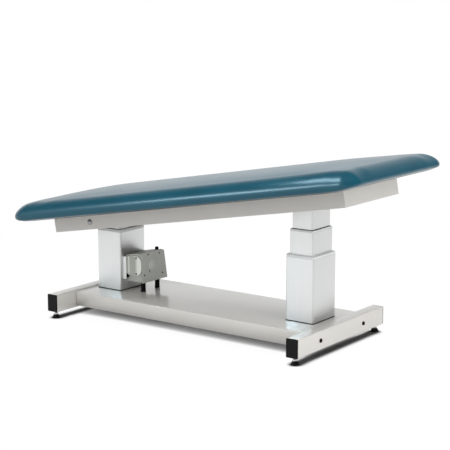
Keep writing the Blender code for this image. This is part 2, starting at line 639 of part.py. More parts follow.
def sweep_ends(bm):
    """Turn the overhanging ends of a flat pad up, and draw its top down at the corners."""
    for side in (-1, 1):
        for step in range(END_STEPS):
            x = FRAME_MIDDLE + side * (FRAME_LENGTH / 2 + step / END_STEPS * END_OVERHANG)
            bmesh.ops.bisect_plane(bm, geom=bm.verts[:] + bm.edges[:] + bm.faces[:], dist=MERGE_DISTANCE,
                                   plane_co=(x, 0, 0), plane_no=(1, 0, 0))
    for vert in bm.verts:
        past_end = max(0.0, (abs(vert.co.x - FRAME_MIDDLE) - FRAME_LENGTH / 2) / END_OVERHANG)
        past_side = max(0.0, (abs(vert.co.y) - FRAME_WIDTH / 2) / SIDE_OVERHANG)
        height = min(vert.co.z - DECK_BOTTOM, CUSHION_EDGE)
        above_board = max(0.0, height - BOARD_THICKNESS - GAP) / (CUSHION_EDGE - BOARD_THICKNESS - GAP)
        lift = CUSHION_END_LIFT * square_in_steps(past_end, END_STEPS) * (1 - height / CUSHION_EDGE)
        drop = CUSHION_CORNER_DROP * past_end * past_side * above_board
        vert.co.z += lift - drop
    return bm


def build_deck_and_cushion(parent, looks):
    """Deck board on the frame, and the cushion that wraps its edge from above."""
    board = loft([pad_outline(BOARD_INSET, height) for height in (0, BOARD_THICKNESS)])
    piece("deck_board", sweep_ends(board), parent, looks["board"])

    pocket = BOARD_INSET - GAP
    rings = [pad_outline(pocket, BOARD_THICKNESS + GAP), pad_outline(pocket, 0)]
    for step in range(CUSHION_TUCK_STEPS):
        angle = step / CUSHION_TUCK_STEPS * math.pi / 2
        rings.append(pad_outline(CUSHION_TUCK * (1 - math.sin(angle)), CUSHION_LIP * (1 - math.cos(angle))))
    rise = CUSHION_EDGE - CUSHION_LIP
    for step in range(CUSHION_ROLL_STEPS + 1):
        angle = step / CUSHION_ROLL_STEPS * math.pi / 2
        rings.append(pad_outline(CUSHION_ROLL * (1 - math.cos(angle)), CUSHION_LIP + rise * math.sin(angle)))
    inner = CUSHION_WIDTH / 2 - CUSHION_ROLL - CUSHION_INNER_CORNER
    for step in range(1, CROWN_STEPS + 1):
        share = step / CROWN_STEPS
        crown = CUSHION_CROWN * (1 - (1 - share) ** 2)
        rings.append(pad_outline(CUSHION_ROLL + inner * share, CUSHION_EDGE + crown))
    piece("cushion", sweep_ends(loft(rings)), parent, looks["vinyl"])


def control_shell(stations, margin):
    """Prism of the control unit's outline, grown by a margin.

    Each station is a distance from the column's middle and how far the top has fallen there.
    """
    front = HOUSING_OFFSET - HOUSING_WIDTH / 2 - margin
    back = HOUSING_OFFSET + HOUSING_WIDTH / 2 + margin
    low, high = HOUSING_LOW - margin, HOUSING_HIGH + margin
    level = HOUSING_OFFSET + FUSE_CAP_OFFSET + FUSE_CAP_RADIUS + FUSE_CAP_BORDER
    rings = []
    for x, fall in stations:
        top = high - fall
        outline = [(front, low), (back + HOUSING_LEAN, low), (back, top - HOUSING_REAR_DROP), (level, top),
                   (front, top)]
        rings.append(ring([(x, y, z) for y, z in outline]))
    return loft(rings)


def build_control_unit(column, looks):
    """Control unit on the outer tube of the left column, in that column's frame."""
    face = OUTER_SIZE[0] / 2 + GAP
    tip = face + BRACKET_DEPTH
    near = BRACKET_OFFSET - BRACKET_WIDTH / 2
    far = near + BRACKET_WIDTH
    wall = BRACKET_WALL
    section = [(face, near), (tip, near), (tip, near + wall), (face + wall, near + wall), (face + wall, far),
               (face, far)]
    high = HOUSING_HIGH - BRACKET_BELOW_TOP
    bracket = loft([ring([(x, y, z) for x, y in section]) for z in (high - BRACKET_HEIGHT, high)])
    piece("control_bracket", bracket, column, looks["aluminium"], smooth=False)

    shelf = HOUSING_FRONT - HOUSING_SHELF
    housing = control_shell([(HOUSING_BACK, HOUSING_TOP_FALL), (shelf, 0.0), (HOUSING_FRONT, 0.0)], 0.0)
    sharp = [edge for edge in housing.edges if edge.calc_face_angle() > BEVELLED_ANGLE]
    bmesh.ops.bevel(housing, geom=sharp, offset=HOUSING_EDGE, offset_type="OFFSET", segments=BEVEL_STEPS,
                    profile=0.5, affect="EDGES")
    housing = piece("control_housing", housing, column, looks["control"])
    inside = [(HOUSING_BACK + HOUSING_WALL, HOUSING_TOP_FALL), (shelf, 0.0),
              (HOUSING_FRONT + HOUSING_WALL, 0.0)]
    hollow = control_shell(inside, -HOUSING_WALL)
    combine(housing, tool("hollow_control_housing", hollow, column))

    high = HOUSING_HIGH - END_CAP_BELOW_TOP
    low = high - END_CAP_HEIGHT
    left, right = HOUSING_BACK + END_CAP_FROM_BACK, HOUSING_FRONT - END_CAP_FROM_FRONT
    radius = END_CAP_CORNER
    fall = HOUSING_TOP_FALL * (shelf - left) / (shelf - HOUSING_BACK)
    outline = [(left, low), (left, high - fall)]
    for centre, start in ((high - radius, math.pi / 2), (low + radius, 0)):
        for step in range(QUARTER_STEPS + 1):
            angle = start - step / QUARTER_STEPS * math.pi / 2
            outline.append((right - radius + radius * math.cos(angle), centre + radius * math.sin(angle)))
    seat = HOUSING_OFFSET - HOUSING_WIDTH / 2 - GAP
    cap = loft([ring([(x, y, z) for x, z in outline]) for y in (seat, seat - END_CAP_THICKNESS)])
    piece("control_end_cap", cap, column, looks["light_control"])

    start = HOUSING_FRONT + GAP
    cover = control_shell([(start, 0.0), (start + SIDE_COVER_THICKNESS, 0.0)], SIDE_COVER_MARGIN)
    piece("control_side_cover", cover, column, looks["control"], smooth=False)

    low, high = COVER_TOP + GAP, HOUSING_LOW - GAP
    nut, radius, height = CONDUIT_NUT_RADIUS, CONDUIT_RADIUS, CONDUIT_NUT_HEIGHT
    for side, where in ((-1, "front"), (1, "rear")):
        conduit = turned([(0, low), (nut, low), (nut, low + height), (radius, low + height),
                          (radius, high - height), (nut, high - height), (nut, high), (0, high)])
        y = HOUSING_OFFSET + CONDUIT_OFFSET + side * CONDUIT_PITCH / 2
        piece(f"control_conduit_{where}", moved(conduit, CONDUIT_X, y), column, looks["black"])
    seat = HOUSING_HIGH + GAP
    cap = turned([(0, seat), (FUSE_CAP_RADIUS, seat)]
                 + dome(FUSE_CAP_RADIUS, FUSE_CAP_DOME, seat + FUSE_CAP_HEIGHT))
    piece("control_fuse_cap", moved(cap, CONDUIT_X, HOUSING_OFFSET + FUSE_CAP_OFFSET), column, looks["black"])


def centre_on_origin(table):
    """Move the table along X so that its whole length is centred on the origin."""
    bpy.context.view_layer.update()
    ends = [(obj.matrix_world @ vert.co).x for obj in bpy.data.objects
            if obj.type == "MESH" and not obj.hide_render for vert in obj.data.vertices]
    table.location.x = -(min(ends) + max(ends)) / 2
    bpy.context.view_layer.update()


def main():
    for obj in list(bpy.data.objects):
        bpy.data.objects.remove(obj, do_unlink=True)
    looks = {
        "paint": finish("painted_steel", linear(206, 204, 198), 0.35),
        "aluminium": finish("anodised_aluminium", linear(222, 224, 222), 0.35, 0.6),
        "collar": finish("grey_plastic", linear(205, 208, 207), 0.5),
        "chrome": finish("chromed_steel", linear(200, 200, 200), 0.15, 1.0),
        "steel": finish("plain_steel", linear(120, 122, 124), 0.45, 0.9),
        "black": finish("black_plastic", linear(30, 29, 29), 0.5),
        "nylon": finish("white_nylon", linear(225, 224, 215), 0.5),
        "board": finish("deck_board", linear(40, 38, 36), 0.8),
        "vinyl": finish("teal_vinyl", linear(23, 78, 96), 0.3),
        "control": finish("grey_enamel", linear(140, 142, 134), 0.4),
        "light_control": finish("light_enamel", linear(205, 208, 200), 0.35),
    }
    table = frame("table")
    build_cover(table, looks)
    for side in (-1, 1):
        build_foot(side, table, looks)
    left = build_column("left", LEFT_COLUMN_X, LEFT_STAGE_OUT, table, looks, SHAFT_RADIUS)
    right = build_column("right", RIGHT_COLUMN_X, RIGHT_STAGE_OUT, table, looks, PIN_RADIUS)
    pivot = frame("left_pivot", (0, 0, PIVOT_Z), TILT, left)
    build_pivot_shaft(pivot, looks)
    build_roller_pin(right, looks)
    tabletop = frame("tabletop", parent=pivot)
    build_top_frame(tabletop, looks)
    build_slot_plates(tabletop, looks)
    build_deck_and_cushion(tabletop, looks)
    build_control_unit(bpy.data.objects["left_column"], looks)
    centre_on_origin(table)


main()
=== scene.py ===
"""Looks of a powered ultrasound table: finishes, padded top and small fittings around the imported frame.

Metres, +Z up, in the frame's own coordinates. The front of the table faces -Y and its raised end +X.
"""

import json
import math

import bmesh
import bpy
from mathutils import Matrix, Vector

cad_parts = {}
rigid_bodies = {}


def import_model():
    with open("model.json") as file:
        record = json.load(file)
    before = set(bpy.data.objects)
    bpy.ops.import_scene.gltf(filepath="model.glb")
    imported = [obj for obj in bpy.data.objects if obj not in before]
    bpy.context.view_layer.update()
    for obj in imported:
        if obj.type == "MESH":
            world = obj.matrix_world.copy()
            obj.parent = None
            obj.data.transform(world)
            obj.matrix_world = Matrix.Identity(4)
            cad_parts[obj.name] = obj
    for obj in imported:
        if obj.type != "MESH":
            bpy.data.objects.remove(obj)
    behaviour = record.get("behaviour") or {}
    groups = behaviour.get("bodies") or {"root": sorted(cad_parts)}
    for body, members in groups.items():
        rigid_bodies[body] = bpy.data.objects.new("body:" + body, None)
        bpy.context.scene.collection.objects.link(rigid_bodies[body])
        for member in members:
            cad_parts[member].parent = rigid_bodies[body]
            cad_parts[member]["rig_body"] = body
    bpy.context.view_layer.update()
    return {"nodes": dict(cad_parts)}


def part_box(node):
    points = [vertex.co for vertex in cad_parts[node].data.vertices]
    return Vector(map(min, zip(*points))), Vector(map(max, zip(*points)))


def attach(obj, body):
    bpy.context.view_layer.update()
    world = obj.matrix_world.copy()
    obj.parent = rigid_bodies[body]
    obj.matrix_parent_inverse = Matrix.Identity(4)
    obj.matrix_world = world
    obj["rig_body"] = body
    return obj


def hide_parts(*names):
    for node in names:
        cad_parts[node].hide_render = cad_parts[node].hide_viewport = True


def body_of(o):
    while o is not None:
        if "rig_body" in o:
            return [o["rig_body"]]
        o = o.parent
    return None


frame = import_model()

# Camera at the photograph's viewing angle
CAMERA_PLACE = (3.4466, -4.6797, 1.5249)
CAMERA_YAW = 0.6277
CAMERA_PITCH = 0.1818
CAMERA_LENS = 106.58
CAMERA_SENSOR = 36.0

# Studio
AMBIENT = 0.92               # light of the room on matt surfaces
BACKDROP = 1.05              # brightness of the backdrop behind the table, in reflections
BACKDROP_WAY = (-0.50, 0.866, 0.0)
FRONT = 0.95                 # brightness of the room to the left of the camera, in reflections
FRONT_WAY = (-0.56, -0.83, 0.0)
GLOW_TOP = 0.70              # sine of the elevation at which both have faded
GLOW_FALL = 1.4
GLOW_GAIN = 3.0              # to the sides both go by gain x cosine - start, from 0 to 1
GLOW_START = 1.5
COOL = (0.62, 0.86, 1.0)     # colour of the lamps that the pad mirrors
ROOM = 0.10                  # brightness of the rest of the room, in reflections
BLACK = (0.0, 0.0, 0.0, 1.0)
WHITE = (1.0, 1.0, 1.0, 1.0)
FLOOR_DROP = 0.0004
FLOOR_SIZE = 60.0
FLOOR_GREY = 0.60            # how much light the floor throws back onto the table
FOOT_OCCLUSION = (0.06, 0.52, 0.76)  # painted floor shade from ambient occlusion, under the feet and the base: reach upwards, open share for black and for white
BASE_OCCLUSION = (0.50, 0.00, 0.285)
OCCLUSION_SAMPLES = 32
SHADOW_SHARE = 0.15          # share of the lamps' own shadow on the floor
FLOOR_LIFT = 0.09            # keeps the open floor white beside that share
OPEN_FLOOR_NEAR = 1.2        # beyond this distance the floor fades to plain white
OPEN_FLOOR_FAR = 2.4

# Fits and edges
MERGE = 1e-5
FLAT_ANGLE = math.radians(0.6)
SHARP_ANGLE = math.radians(38)
EDGE_STEPS = 2
SEAT = 0.0002                # how far a fitting stands in the surface that carries it
UPRIGHT = 0.9                # an edge or a normal is upright if this share of it is along Z

# Fittings
TURN_STEPS = 24
ARC_STEPS = 8
TRAY_EDGE = 0.003
TRAY_EDGE_STEPS = 4
TRAY_WALL = 0.0025
HEAD_TOP = 0.93              # screw heads, in shares of the radius: the top,
HEX_RIM = 0.4                # the rim round the six-sided socket
HEX_SIZE = 0.48              # and half the socket's width across the flats
HEX_DEPTH = 0.6              # share of the head's height
NUT_EASE = 0.06              # rounding of a nut's edges, as a share of its radius
THREAD_RING = ((False, 0.1), (True, 0.4), (True, 0.6), (False, 0.9))  # on the crest, share of the pitch
BOLT_RADIUS = 0.009
BOLT_HEIGHT = 0.004
BOLT_EDGE = 0.0004
BOLT_PLACES = (-0.173, 0.173)        # along each foot
BOLT_LEVEL = 0.072
STEM_RADIUS = 0.005
STEM_ROOT = 0.0043
STEM_PITCH = 0.0015
NUT_RADIUS = 0.0095
NUT_HEIGHT = 0.006
WASHER_HEIGHT = 0.002
WASHER_RADIUS = 0.0105
WASHER_TOP = 0.0098
PAD_BELL = ((0.0, 0.0), (0.0150, 0.0), (0.0166, 0.0006), (0.0170, 0.0018), (0.0170, 0.0055), (0.0162, 0.0078),
            (0.0140, 0.0105), (0.0120, 0.0135), (0.0112, 0.0160), (0.0, 0.0160))
WIPER_WALL = 0.0022
WIPER_HEIGHT = 0.0022
WIPER_FIT = 0.0004
WIPER_CORNER_STEPS = 6
TUBE_CORNER = 0.006
GLAND_SHARE = 0.16           # height of a gland nut, as a share of its conduit's
CONDUIT_INSET = 0.001        # the ribs lie this much inside the nuts
CONDUIT_PITCH = 0.003
CONDUIT_RIB = 0.0009
FUSE_RISE = 0.001            # how far the fuse cap passes the CAD's
FUSE_CAP = ((0.0, 0.0), (1.0, 0.0), (1.0, 0.18), (0.94, 0.24), (0.94, 0.82), (0.86, 0.95), (0.7, 1.0),
            (0.0, 1.0))      # shares of its radius and height
FUSE_BAR_SHARE = 0.5         # half the length of the bar across it, as a share of the radius
FUSE_BAR_SIDE = 0.0012       # half the bar's width
FUSE_BAR_HEIGHT = 0.0008
SCREW_RADIUS = 0.0040
SCREW_HEIGHT = 0.0014
PLATE_SCREWS = ((-0.0190, 0.2806), (0.0643, 0.2748), (-0.0453, 0.1870), (0.0869, 0.1781))
PANEL_LEFT = -0.4755
PANEL_RIGHT = -0.3785
PANEL_LOW = 0.1830
PANEL_HIGH = 0.2755
PANEL_LEFT_HIGH = 0.2680
PANEL_CORNER = 0.032
PANEL_EDGE = 0.002
INLAY = 0.001                # how deep the strip, the seam and the slit lie in the surface
STRIP_LEFT = -0.4470
STRIP_RIGHT = -0.4112
STRIP_LOW = PANEL_LOW + 0.002
STRIP_HIGH = PANEL_HIGH - 0.005
STRIP_PROUD = 0.0006
STRIP_EDGE = 0.0004
# Seam on the panel: a thin black strip, painted shade of the groove between the shells
SEAM_PLACE = -0.4072
SEAM_WIDTH = 0.0012
SEAM_LOW = PANEL_LOW + 0.002
SEAM_HIGH = PANEL_HIGH - 0.002
PANEL_SCREWS = (0.2665, 0.1921)
BADGE_PLACE = (0.0100, 0.2265)
BADGE_RADIUS = 0.025
BADGE_RIM = ((0.0, 0.0), (0.0, 0.0005), (0.0006, 0.0010), (0.002, 0.0010), (0.0024, 0.0007))  # inset, height
# Slot on the side cover: a black block, painted shade of the slot's inside
SLIT_LOW = (-0.0092, 0.1940)
SLIT_HIGH = (-0.0055, 0.2175)
SLIT_PROUD = 0.0004
SOCKET_LOW = (-0.4740, 0.1725)
SOCKET_HIGH = (-0.4545, 0.1875)
SOCKET_PROUD = 0.005
SOCKET_WALL = 0.002
SOCKET_WELL = 0.007
SOCKET_EDGE = 0.0005

# Padded top, measured along the top
PAD_LEFT_CORNER = 0.100
PAD_RIGHT_CORNER = 0.072
PAD_ROLL = 0.080             # width of the rolled edge
PAD_EDGE = 0.084             # thickness just inside the rolled edge
PAD_LIP = 0.016              # height of the fullest part of the side
PAD_TUCK = 0.014             # how far the side turns under
PAD_CROWN = 0.017
PAD_CROWN_RUN = 0.284        # from the rolled edge to the full crown
PAD_DRAW_IN = 0.003
PAD_END_LIFT = 0.012
PAD_CORNER_DROP = 0.018
PAD_END_OVERHANG = 0.1415
PAD_SIDE_OVERHANG = 0.163
PAD_SWELL = 0.003            # the cover starts this much inside its final shape
PAD_MOST_MOVE = 0.0045
PAD_REACH_LEFT = 0.000       # how far the finished pad passes the CAD cushion at each end
PAD_REACH_RIGHT = 0.006
PAD_COLUMNS = 140
PAD_ROWS = 56
PAD_ROLL_STEPS = 10
PAD_TUCK_STEPS = 5
BOARD_THICKNESS = 0.015
BOARD_INSET = 0.030
BOARD_FIT = 0.0008
FLAP_WIDTH = 0.066           # the cover's flap under the board, from the pad's edge
FLAP_THICKNESS = 0.0012
COVER_PRESSURE = 4.0
COVER_FRAMES = 20


def srgb(red, green, blue):
    """Scene-linear colour from the 0-255 values of a display."""
    return tuple(((c / 255 + 0.055) / 1.055) ** 2.4 if c > 10 else c / 255 / 12.92
                 for c in (red, green, blue)) + (1.0,)


class Wire:
    """One output of a shader node. Arithmetic on it adds Math nodes to the same tree."""

    def __init__(self, tree, socket):
        self.tree = tree
        self.socket = socket

    def node(self, kind, settings, sockets, output=0):
        """Add a node, give it its settings, then the values or links of its sockets; return one output."""
        made = self.tree.nodes.new(kind)
        for name, value in settings.items():
            setattr(made, name, value)
        for name, value in sockets.items():
            if isinstance(value, Wire):
                self.tree.links.new(value.socket, made.inputs[name])
            else:
                made.inputs[name].default_value = value
        return Wire(self.tree, made.outputs[output])

    def maths(self, operation, first, second):
        """Add a Math node."""
        return self.node("ShaderNodeMath", {"operation": operation}, {0: first, 1: second})

    def __add__(self, other):
        return self.maths("ADD", self, other)

    def __radd__(self, other):
        return self.maths("ADD", other, self)

    def __sub__(self, other):
        return self.maths("SUBTRACT", self, other)

    def __rsub__(self, other):
        return self.maths("SUBTRACT", other, self)

    def __mul__(self, other):
        return self.maths("MULTIPLY", self, other)

    def __rmul__(self, other):
        return self.maths("MULTIPLY", other, self)

    def __truediv__(self, other):
        return self.maths("DIVIDE", self, other)


def clamped(wire):
    """Keep a value between 0 and 1."""
    return wire.node("ShaderNodeClamp", {}, {"Value": wire})


def noise(place, scale, detail=2.0):
    """Soft random value from 0 to 1; its grain is about 1 / scale metres across."""
    return place.node("ShaderNodeTexNoise", {}, {"Vector": place, "Scale": scale, "Detail": detail})


def stretched(place, x, y, z):
    """Coordinates scaled along each axis; a small number draws a pattern out along that axis."""
    return place.node("ShaderNodeMapping", {}, {"Vector": place, "Scale": (x, y, z)})


def between(factor, first, second):
    """Colour that goes from the first to the second."""
    return factor.node("ShaderNodeMix", {"data_type": "RGBA"}, {0: factor, 6: first, 7: second}, output=2)


def relief(height, depth, strength=1.0):
    """Bumped normal from a height of 0 to 1."""
    return height.node("ShaderNodeBump", {}, {"Height": height, "Distance": depth, "Strength": strength})


def finish(name, fixed, varied):
    """A Principled material: fixed socket values, and a function that gives the sockets that vary."""
    material = bpy.data.materials.new(name)
    material.use_nodes = True
    tree = material.node_tree
    shader = tree.nodes["Principled BSDF"]
    for socket, value in fixed.items():
        shader.inputs[socket].default_value = value
    place = Wire(tree, tree.nodes.new("ShaderNodeTexCoord").outputs["Object"])
    for socket, wire in varied(place).items():
        tree.links.new(wire.socket, shader.inputs[socket])
    return material


def painted_steel(place):
    """Warm light-grey powder coat with a fine orange peel."""
    tone = noise(place, 4.0, 3.0)
    peel = noise(place, 520.0)
    grit = noise(place, 1900.0)
    return {
        "Base Color": between(tone, srgb(203, 200, 194), srgb(215, 213, 208)),
        "Roughness": 0.27 + 0.12 * tone,
        "Normal": relief(peel + 0.3 * grit, 0.00004),
    }


def anodised_aluminium(place):
    """Silver anodised extrusion with faint lines along its length."""
    lines = noise(stretched(place, 1.0, 1.0, 0.004), 1500.0, 3.0)
    bands = noise(stretched(place, 1.0, 1.0, 0.02), 60.0)
    return {
        "Base Color": between(clamped(lines * 0.7 + bands * 0.3), srgb(220, 222, 221), srgb(236, 237, 236)),
        "Roughness": 0.34 + 0.14 * lines,
        "Normal": relief(lines, 0.00002),
    }


def guide_plastic(place):
    """Pale grey moulded plastic of the guide collars."""
    grain = noise(place, 1400.0, 3.0)
    return {
        "Base Color": between(noise(place, 12.0), srgb(214, 217, 216), srgb(226, 228, 227)),
        "Roughness": 0.36 + 0.12 * grain,
        "Normal": relief(grain, 0.00003),
    }


def chromed_steel(place):
    """Bright plating with faint haze."""
    haze = noise(place, 90.0, 3.0)
    return {
        "Base Color": between(haze, srgb(196, 197, 198), srgb(214, 214, 214)),
        "Roughness": 0.08 + 0.10 * haze,
    }


def plain_steel(place):
    """Zinc-plated steel, mottled."""
    mottle = noise(place, 140.0, 4.0)
    return {
        "Base Color": between(mottle, srgb(128, 130, 132), srgb(172, 174, 174)),
        "Roughness": 0.30 + 0.22 * mottle,
        "Normal": relief(mottle, 0.00003),
    }


def black_plastic(place):
    """Moulded black plastic with a fine grain."""
    grain = noise(place, 1700.0)
    return {
        "Base Color": between(noise(place, 25.0), srgb(9, 8, 8), srgb(18, 17, 17)),
        "Roughness": 0.42 + 0.18 * grain,
        "Normal": relief(grain, 0.00008),
    }


def white_nylon(place):
    """Machined nylon of the rollers."""
    rings = noise(place, 700.0)
    return {
        "Base Color": between(noise(place, 30.0), srgb(218, 216, 205), srgb(232, 230, 222)),
        "Roughness": 0.40 + 0.15 * rings,
        "Normal": relief(rings, 0.00003),
    }


def backing_cloth(place):
    """Black woven dust cloth over the deck board."""
    warp = place.node("ShaderNodeTexWave", {"bands_direction": "X"}, {"Vector": place, "Scale": 260.0})
    weft = place.node("ShaderNodeTexWave", {"bands_direction": "Y"}, {"Vector": place, "Scale": 260.0})
    weave = warp * 0.5 + weft * 0.5
    return {
        "Base Color": between(weave, srgb(22, 21, 20), srgb(50, 48, 46)),
        "Roughness": 0.75 + 0.2 * weave,
        "Normal": relief(weave, 0.0002),
    }


def teal_vinyl(place):
    """Coated upholstery vinyl with a fine leather grain."""
    drift = noise(place, 240.0)
    bent = place.node("ShaderNodeVectorMath", {"operation": "MULTIPLY_ADD"},
                      {0: drift, 1: (0.004, 0.004, 0.004), 2: place})
    cells = place.node("ShaderNodeTexVoronoi", {"feature": "SMOOTH_F1"},
                       {"Vector": bent, "Scale": 620.0, "Smoothness": 0.5})
    tone = noise(place, 7.0, 3.0)
    return {
        "Base Color": between(tone, srgb(4, 66, 83), srgb(14, 80, 98)),
        "Roughness": 0.26 + 0.06 * tone + 0.05 * cells,
        "Normal": relief(cells + 0.4 * drift, 0.00012, 0.6),
    }


def grey_enamel(place):
    """Mid-grey enamel of the control unit."""
    peel = noise(place, 700.0)
    return {
        "Base Color": between(noise(place, 14.0, 3.0), srgb(164, 166, 159), srgb(178, 180, 173)),
        "Roughness": 0.34 + 0.16 * peel,
        "Normal": relief(peel, 0.00006),
    }


def satin_plate(place):
    """Satin grey of the blank badge plate."""
    haze = noise(place, 200.0)
    return {
        "Base Color": between(haze, srgb(186, 188, 182), srgb(196, 198, 192)),
        "Roughness": 0.36 + 0.12 * haze,
    }


def light_enamel(place):
    """Pale grey-green enamel of the control unit's front."""
    peel = noise(place, 700.0)
    return {
        "Base Color": between(noise(place, 14.0, 3.0), srgb(226, 229, 221), srgb(238, 240, 233)),
        "Roughness": 0.30 + 0.16 * peel,
        "Normal": relief(peel, 0.00005),
    }


FINISHES = {
    "paint": finish("painted_steel", {"Coat Weight": 0.7, "Coat Roughness": 0.09}, painted_steel),
    "aluminium": finish("anodised_aluminium", {"Metallic": 0.95}, anodised_aluminium),
    "collar": finish("guide_plastic", {}, guide_plastic),
    "chrome": finish("chromed_steel", {"Metallic": 1.0}, chromed_steel),
    "steel": finish("plain_steel", {"Metallic": 0.9}, plain_steel),
    "black": finish("black_plastic", {"Specular IOR Level": 0.15}, black_plastic),
    "nylon": finish("white_nylon", {}, white_nylon),
    "board": finish("backing_cloth", {}, backing_cloth),
    "vinyl": finish("teal_vinyl", {"Coat Weight": 0.25, "Coat Roughness": 0.20, "Specular IOR Level": 0.25},
                    teal_vinyl),
    "control": finish("grey_enamel", {"Coat Weight": 0.15, "Coat Roughness": 0.2}, grey_enamel),
    "light_control": finish("light_enamel", {"Coat Weight": 0.2, "Coat Roughness": 0.15}, light_enamel),
    "badge": finish("satin_plate", {"Metallic": 0.2}, satin_plate),
}


def piece(name, bm, body, slot, replaced=(), look=None):
    """Turn a bmesh into a smooth-shaded object that rides on a body, and takes the place of CAD nodes.

    It has the finish of its slot, unless another look is named.
    """
    mesh = bpy.data.meshes.new(name)
    bm.to_mesh(mesh)
    bm.free()
    mesh.shade_smooth()
    mesh.set_sharp_from_angle(angle=SHARP_ANGLE)
    mesh.materials.append(FINISHES[look or slot])
    obj = bpy.data.objects.new(name, mesh)
    bpy.context.collection.objects.link(obj)
    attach(obj, body)
    if replaced:
        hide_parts(*replaced)
    return obj


def ease_edges(obj, width):
    """Round the hard edges of a piece."""
    bevel = obj.modifiers.new("eased_edges", "BEVEL")
    bevel.width = width
    bevel.segments = EDGE_STEPS
    bevel.limit_method = "ANGLE"
    bevel.angle_limit = SHARP_ANGLE
    bevel.harden_normals = True
    bevel.material = -1


def dressed(node, slot, edge):
    """A merged copy of a CAD node with its hard edges eased."""
    bm = bmesh.new()
    bm.from_mesh(frame["nodes"][node].data)
    bmesh.ops.remove_doubles(bm, verts=bm.verts, dist=MERGE)
    bmesh.ops.dissolve_limit(bm, angle_limit=FLAT_ANGLE, verts=bm.verts, edges=bm.edges)
    obj = piece(f"{node}_finished", bm, body_of(frame["nodes"][node])[0], slot, (node,))
    ease_edges(obj, edge)
    return obj


def centre(node):
    """Middle of a CAD node."""
    low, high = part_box(node)
    return (low + high) / 2


def top_frame():
    """Place of the tilted top: origin on the left pivot, X along the top."""
    pivot, roller = centre("pivot_shaft"), centre("roller_pin")
    tilt = math.atan2(roller.z - pivot.z, roller.x - pivot.x)
    return Matrix.Translation(pivot) @ Matrix.Rotation(-tilt, 4, "Y")


TOP = top_frame()
PAD_POINTS = [TOP.inverted() @ vert.co for vert in frame["nodes"]["cushion"].data.vertices]
PAD_HALF_LENGTH = (max(p.x for p in PAD_POINTS) - min(p.x for p in PAD_POINTS)) / 2
PAD_HALF_WIDTH = max(p.y for p in PAD_POINTS)
PAD_MIDDLE = min(p.x for p in PAD_POINTS) + PAD_HALF_LENGTH
PAD_BOTTOM = min(p.z for p in PAD_POINTS)


def spread(share, half, roll_share):
    """Grid coordinate from -1 to 1 as a distance from the middle, close-set over the rolled edge."""
    flat = 1 - roll_share
    if abs(share) <= flat:
        return share / flat * (half - PAD_ROLL)
    angle = (1 - abs(share)) / roll_share * math.pi / 2
    return math.copysign(half - PAD_ROLL * (1 - math.cos(angle)), share)


def pad_corner(x):
    """Radius of the corners at the end of the pad where a point lies."""
    return PAD_LEFT_CORNER if x < 0 else PAD_RIGHT_CORNER


def corner_reach(x, y):
    """How far a point lies inside the square of a rounded corner, along X and Y."""
    corner = pad_corner(x)
    return abs(x) - (PAD_HALF_LENGTH - corner), abs(y) - (PAD_HALF_WIDTH - corner)


def round_corner(x, y):
    """Bring the square corners of the grid onto the pad's rounded outline."""
    corner = pad_corner(x)
    across, along = corner_reach(x, y)
    if across <= 0 or along <= 0:
        return x, y
    p, q = across / corner, along / corner
    across, along = p * math.sqrt(1 - q * q / 2) * corner, q * math.sqrt(1 - p * p / 2) * corner
    return (math.copysign(PAD_HALF_LENGTH - corner + across, x),
            math.copysign(PAD_HALF_WIDTH - corner + along, y))


def depth_inside(x, y):
    """Distance of a point inside the pad's outline."""
    across, along = corner_reach(x, y)
    if across > 0 and along > 0:
        return pad_corner(x) - math.hypot(across, along)
    return pad_corner(x) - max(across, along)


def outward(x, y):
    """Direction out of the pad's outline at a point of its rim."""
    across, along = corner_reach(x, y)
    if across > 0 and along > 0:
        return Vector((math.copysign(across, x), math.copysign(along, y))).normalized()
    if across > along:
        return Vector((math.copysign(1, x), 0))
    return Vector((0, math.copysign(1, y)))


def top_height(x, y):
    """Height of the pad's upper side above its bottom."""
    depth = max(0.0, depth_inside(x, y))
    rise = PAD_EDGE - PAD_LIP
    if depth < PAD_ROLL:
        return PAD_LIP + rise * math.sqrt(1 - (1 - depth / PAD_ROLL) ** 2)
    side = min(1.0, (PAD_HALF_WIDTH - PAD_ROLL - abs(y)) / PAD_CROWN_RUN)
    end = min(1.0, (PAD_HALF_LENGTH - PAD_ROLL - abs(x)) / PAD_CROWN_RUN)
    return PAD_EDGE + PAD_CROWN * (1 - (1 - side) ** 2) * (1 - (1 - end) ** 2)


def pull_in(x, y):
    """Draw the sides in between the corners."""
    reach_x, reach_y = PAD_HALF_LENGTH - pad_corner(x), PAD_HALF_WIDTH - pad_corner(x)
    pull_x = PAD_DRAW_IN * max(0.0, 1 - (y / reach_y) ** 2)
    pull_y = PAD_DRAW_IN * max(0.0, 1 - (x / reach_x) ** 2)
    return x * (1 - pull_x / PAD_HALF_LENGTH), y * (1 - pull_y / PAD_HALF_WIDTH)


def pad_place(x, y, height):
    """Place of a pad point: sides drawn in, ends turned up, top drawn down at the corners."""
    x, y = pull_in(x, y)
    past_end = max(0.0, (abs(x) - PAD_HALF_LENGTH) / PAD_END_OVERHANG + 1)
    past_side = max(0.0, (abs(y) - PAD_HALF_WIDTH) / PAD_SIDE_OVERHANG + 1)
    level = min(height, PAD_EDGE)
    above_board = max(0.0, level - BOARD_THICKNESS) / (PAD_EDGE - BOARD_THICKNESS)
    lift = PAD_END_LIFT * past_end ** 2 * (1 - level / PAD_EDGE)
    drop = PAD_CORNER_DROP * past_end * past_side * above_board
    return TOP @ Vector((PAD_MIDDLE + x, y, PAD_BOTTOM + height + lift - drop))


